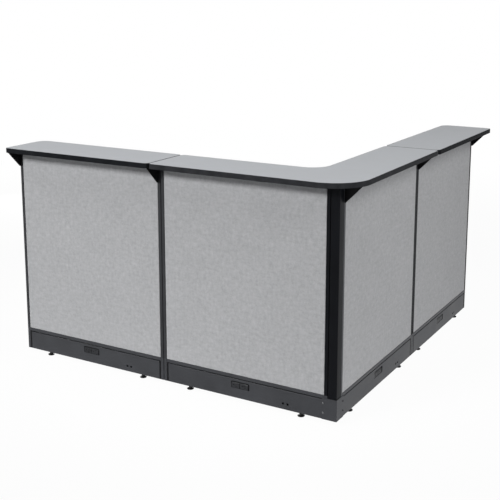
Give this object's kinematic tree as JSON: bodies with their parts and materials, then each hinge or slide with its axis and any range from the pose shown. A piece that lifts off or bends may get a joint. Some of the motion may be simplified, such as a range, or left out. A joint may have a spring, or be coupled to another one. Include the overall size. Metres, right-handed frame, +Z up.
{
  "type": "reception desk",
  "caption": "L-shaped reception desk: fabric-faced panels on raceway bases with outlets, joined at a corner post, under a narrow edge-banded counter with a rounded corner.",
  "frame": {"origin": "on the floor, under the middle of the counter's outline", "axes": "+Z up; the left run stands along X with its public face to -Y, the right run along Y with its public face to +X, and the outer corner is at +X, -Y"},
  "size_m": [2.0365, 2.0365, 1.1837],
  "materials": {
    "frame_paint": "satin charcoal powder coat",
    "cover_paint": "satin grey powder coat",
    "bracket_paint": "satin black powder coat",
    "panel_fabric": "woven heather grey cloth",
    "counter_laminate": "fine-textured grey laminate",
    "edge_band": "satin black",
    "outlet_plastic": "moulded dark grey",
    "foot_coating": "black-coated steel"
  },
  "bodies": {
    "station": {"left_end_frame": "frame_paint", "left_end_base_channel": "frame_paint", "left_end_power_module": "outlet_plastic", "left_end_public_board": "panel_fabric", "left_end_staff_board": "panel_fabric", "left_inner_frame": "frame_paint", "left_inner_base_channel": "frame_paint", "left_inner_power_module": "outlet_plastic", "left_inner_public_board": "panel_fabric", "left_inner_staff_board": "panel_fabric", "right_inner_frame": "frame_paint", "right_inner_base_channel": "frame_paint", "right_inner_power_module": "outlet_plastic", "right_inner_public_board": "panel_fabric", "right_inner_staff_board": "panel_fabric", "right_end_frame": "frame_paint", "right_end_base_channel": "frame_paint", "right_end_power_module": "outlet_plastic", "right_end_public_board": "panel_fabric", "right_end_staff_board": "panel_fabric", "left_panel_connector": "bracket_paint", "left_post_connector": "bracket_paint", "right_post_connector": "bracket_paint", "right_panel_connector": "bracket_paint", "corner_post": "frame_paint", "corner_base_cover": "cover_paint", "left_counter": "counter_laminate", "left_counter_band": "edge_band", "corner_counter": "counter_laminate", "corner_counter_band": "edge_band", "right_counter": "counter_laminate", "right_counter_band": "edge_band", "left_end_public_bracket": "bracket_paint", "left_end_staff_bracket": "bracket_paint", "left_joint_public_bracket": "bracket_paint", "left_joint_staff_bracket": "bracket_paint", "corner_public_bracket": "bracket_paint", "right_joint_public_bracket": "bracket_paint", "right_joint_staff_bracket": "bracket_paint", "right_end_public_bracket": "bracket_paint", "right_end_staff_bracket": "bracket_paint"},
    "left_end_public_cover": {"left_end_public_cover": "cover_paint"},
    "left_end_staff_cover": {"left_end_staff_cover": "cover_paint"},
    "left_end_left_foot": {"left_end_left_foot": "foot_coating"},
    "left_end_right_foot": {"left_end_right_foot": "foot_coating"},
    "left_inner_public_cover": {"left_inner_public_cover": "cover_paint"},
    "left_inner_staff_cover": {"left_inner_staff_cover": "cover_paint"},
    "left_inner_left_foot": {"left_inner_left_foot": "foot_coating"},
    "left_inner_right_foot": {"left_inner_right_foot": "foot_coating"},
    "right_inner_public_cover": {"right_inner_public_cover": "cover_paint"},
    "right_inner_staff_cover": {"right_inner_staff_cover": "cover_paint"},
    "right_inner_left_foot": {"right_inner_left_foot": "foot_coating"},
    "right_inner_right_foot": {"right_inner_right_foot": "foot_coating"},
    "right_end_public_cover": {"right_end_public_cover": "cover_paint"},
    "right_end_staff_cover": {"right_end_staff_cover": "cover_paint"},
    "right_end_left_foot": {"right_end_left_foot": "foot_coating"},
    "right_end_right_foot": {"right_end_right_foot": "foot_coating"}
  },
  "joints": [
    {"name": "left_end_public_cover_draw", "type": "slide", "parent": "station", "child": "left_end_public_cover", "axis": [0, -1, 0], "range_m": [0, 0.025]},
    {"name": "left_end_staff_cover_draw", "type": "slide", "parent": "station", "child": "left_end_staff_cover", "axis": [0, 1, 0], "range_m": [0, 0.025]},
    {"name": "left_end_left_foot_screw", "type": "slide", "parent": "station", "child": "left_end_left_foot", "axis": [0, 0, -1], "range_m": [0, 0.019]},
    {"name": "left_end_right_foot_screw", "type": "slide", "parent": "station", "child": "left_end_right_foot", "axis": [0, 0, -1], "range_m": [0, 0.019]},
    {"name": "left_inner_public_cover_draw", "type": "slide", "parent": "station", "child": "left_inner_public_cover", "axis": [0, -1, 0], "range_m": [0, 0.025]},
    {"name": "left_inner_staff_cover_draw", "type": "slide", "parent": "station", "child": "left_inner_staff_cover", "axis": [0, 1, 0], "range_m": [0, 0.025]},
    {"name": "left_inner_left_foot_screw", "type": "slide", "parent": "station", "child": "left_inner_left_foot", "axis": [0, 0, -1], "range_m": [0, 0.019]},
    {"name": "left_inner_right_foot_screw", "type": "slide", "parent": "station", "child": "left_inner_right_foot", "axis": [0, 0, -1], "range_m": [0, 0.019]},
    {"name": "right_inner_public_cover_draw", "type": "slide", "parent": "station", "child": "right_inner_public_cover", "axis": [1, 0, 0], "range_m": [0, 0.025]},
    {"name": "right_inner_staff_cover_draw", "type": "slide", "parent": "station", "child": "right_inner_staff_cover", "axis": [-1, 0, 0], "range_m": [0, 0.025]},
    {"name": "right_inner_left_foot_screw", "type": "slide", "parent": "station", "child": "right_inner_left_foot", "axis": [0, 0, -1], "range_m": [0, 0.019]},
    {"name": "right_inner_right_foot_screw", "type": "slide", "parent": "station", "child": "right_inner_right_foot", "axis": [0, 0, -1], "range_m": [0, 0.019]},
    {"name": "right_end_public_cover_draw", "type": "slide", "parent": "station", "child": "right_end_public_cover", "axis": [1, 0, 0], "range_m": [0, 0.025]},
    {"name": "right_end_staff_cover_draw", "type": "slide", "parent": "station", "child": "right_end_staff_cover", "axis": [-1, 0, 0], "range_m": [0, 0.025]},
    {"name": "right_end_left_foot_screw", "type": "slide", "parent": "station", "child": "right_end_left_foot", "axis": [0, 0, -1], "range_m": [0, 0.019]},
    {"name": "right_end_right_foot_screw", "type": "slide", "parent": "station", "child": "right_end_right_foot", "axis": [0, 0, -1], "range_m": [0, 0.019]}
  ]
}
